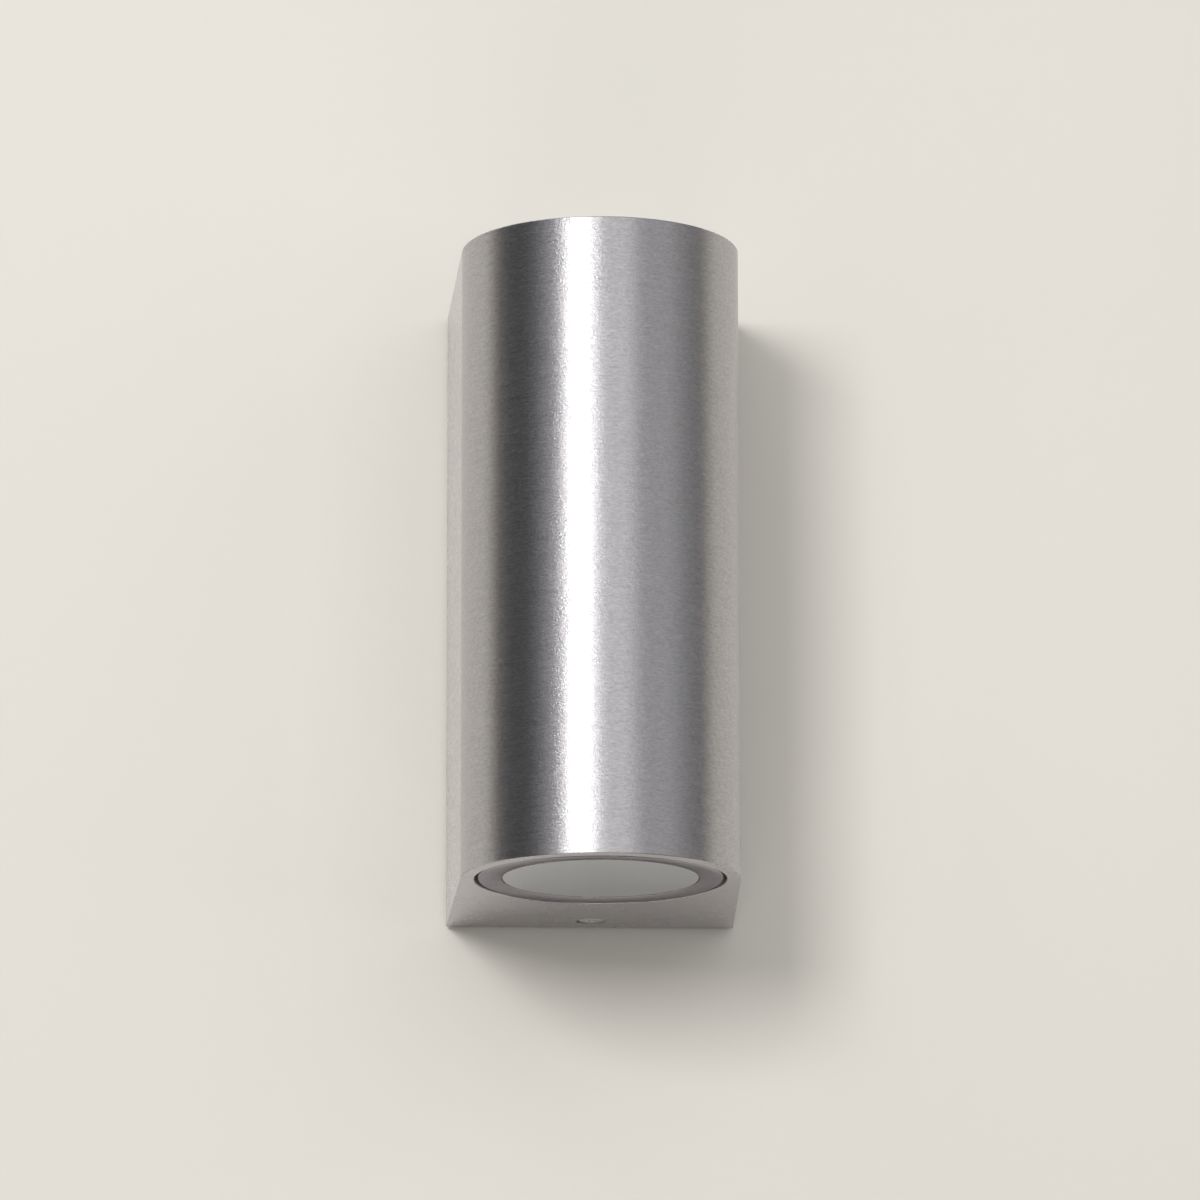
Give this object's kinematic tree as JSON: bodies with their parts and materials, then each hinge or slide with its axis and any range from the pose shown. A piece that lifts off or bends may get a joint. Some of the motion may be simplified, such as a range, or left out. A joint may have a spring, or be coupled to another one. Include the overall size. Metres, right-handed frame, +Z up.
{
  "type": "tube wall light",
  "caption": "Half-round upright tube wall light with a frosted glass under a screwed ring at each end, bayonet lamps inside and a wall bracket behind.",
  "frame": {"origin": "on the wall at mid height, at the middle of the wall bracket's back face and of its two screw slots", "axes": "+Z up along the lamps' axis, +X to the right seen from the front, +Y into the wall; the round front faces -Y"},
  "size_m": [0.0684, 0.093, 0.15],
  "materials": {
    "cast_housing": "brushed, satin",
    "ring_aluminium": "satin anodised grey",
    "frosted_glass": "frosted",
    "silicone": "matte translucent silicone",
    "foam_seal": "matte closed-cell foam",
    "black_rubber": "matte",
    "zinc_steel": "zinc plated sheet",
    "screw_steel": "plain stainless",
    "white_nylon": "moulded",
    "terminal_brass": "plain",
    "holder_ceramic": "unglazed steatite",
    "lamp_white": "moulded white",
    "lamp_diffuser": "opal",
    "pin_nickel": "nickel plated",
    "live_sleeve": "brown insulation",
    "neutral_sleeve": "blue insulation",
    "earth_sleeve": "green and yellow insulation"
  },
  "bodies": {
    "fitting": {"housing": "cast_housing", "wall_gasket": "foam_seal", "wall_bracket": "zinc_steel", "bracket_nuts": "zinc_steel", "housing_screws": "screw_steel", "cable_bush": "black_rubber", "terminal_block": "white_nylon", "terminal_inserts": "terminal_brass", "terminal_screws": "screw_steel", "block_screws": "screw_steel", "holder_bridge": "zinc_steel", "bridge_screws": "screw_steel", "holder_bolts": "screw_steel", "holder_nuts": "zinc_steel", "earth_tag": "terminal_brass", "earth_lead": "earth_sleeve", "upper_live_lead": "live_sleeve", "upper_neutral_lead": "neutral_sleeve", "upper_lampholder": "holder_ceramic", "upper_holder_cap": "holder_ceramic", "upper_holder_contacts": "terminal_brass", "lower_live_lead": "live_sleeve", "lower_neutral_lead": "neutral_sleeve", "lower_lampholder": "holder_ceramic", "lower_holder_cap": "holder_ceramic", "lower_holder_contacts": "terminal_brass"},
    "upper_lens": {"upper_lens_glass": "frosted_glass", "upper_lens_gasket": "silicone"},
    "upper_ring": {"upper_lens_ring": "ring_aluminium"},
    "upper_lamp": {"upper_lamp_shell": "lamp_white", "upper_lamp_lens": "lamp_diffuser", "upper_lamp_base": "lamp_white", "upper_lamp_pins": "pin_nickel"},
    "lower_lens": {"lower_lens_glass": "frosted_glass", "lower_lens_gasket": "silicone"},
    "lower_ring": {"lower_lens_ring": "ring_aluminium"},
    "lower_lamp": {"lower_lamp_shell": "lamp_white", "lower_lamp_lens": "lamp_diffuser", "lower_lamp_base": "lamp_white", "lower_lamp_pins": "pin_nickel"}
  },
  "joints": [
    {"name": "upper_lens_travel", "type": "slide", "parent": "fitting", "child": "upper_lens", "axis": [0, 0, 1], "range_m": [0, 0.0045]},
    {"name": "upper_ring_turn", "type": "hinge", "parent": "upper_lens", "child": "upper_ring", "pos_m": [0, -0.06056, 0.075], "axis": [0, 0, 1], "range_deg": [0, 1080]},
    {"name": "upper_lamp_twist", "type": "hinge", "parent": "fitting", "child": "upper_lamp", "pos_m": [0, -0.06056, 0.0165], "axis": [0, 0, 1], "range_deg": [0, 45]},
    {"name": "lower_lens_travel", "type": "slide", "parent": "fitting", "child": "lower_lens", "axis": [0, 0, -1], "range_m": [0, 0.0045]},
    {"name": "lower_ring_turn", "type": "hinge", "parent": "lower_lens", "child": "lower_ring", "pos_m": [0, -0.06056, -0.075], "axis": [0, 0, -1], "range_deg": [0, 1080]},
    {"name": "lower_lamp_twist", "type": "hinge", "parent": "fitting", "child": "lower_lamp", "pos_m": [0, -0.06056, -0.0165], "axis": [0, 0, -1], "range_deg": [0, 45]}
  ],
  "couplings": [
    {"joint": "upper_lens_travel", "follows": "upper_ring_turn", "m_per_rad": 0.00023873},
    {"joint": "lower_lens_travel", "follows": "lower_ring_turn", "m_per_rad": 0.00023873}
  ]
}
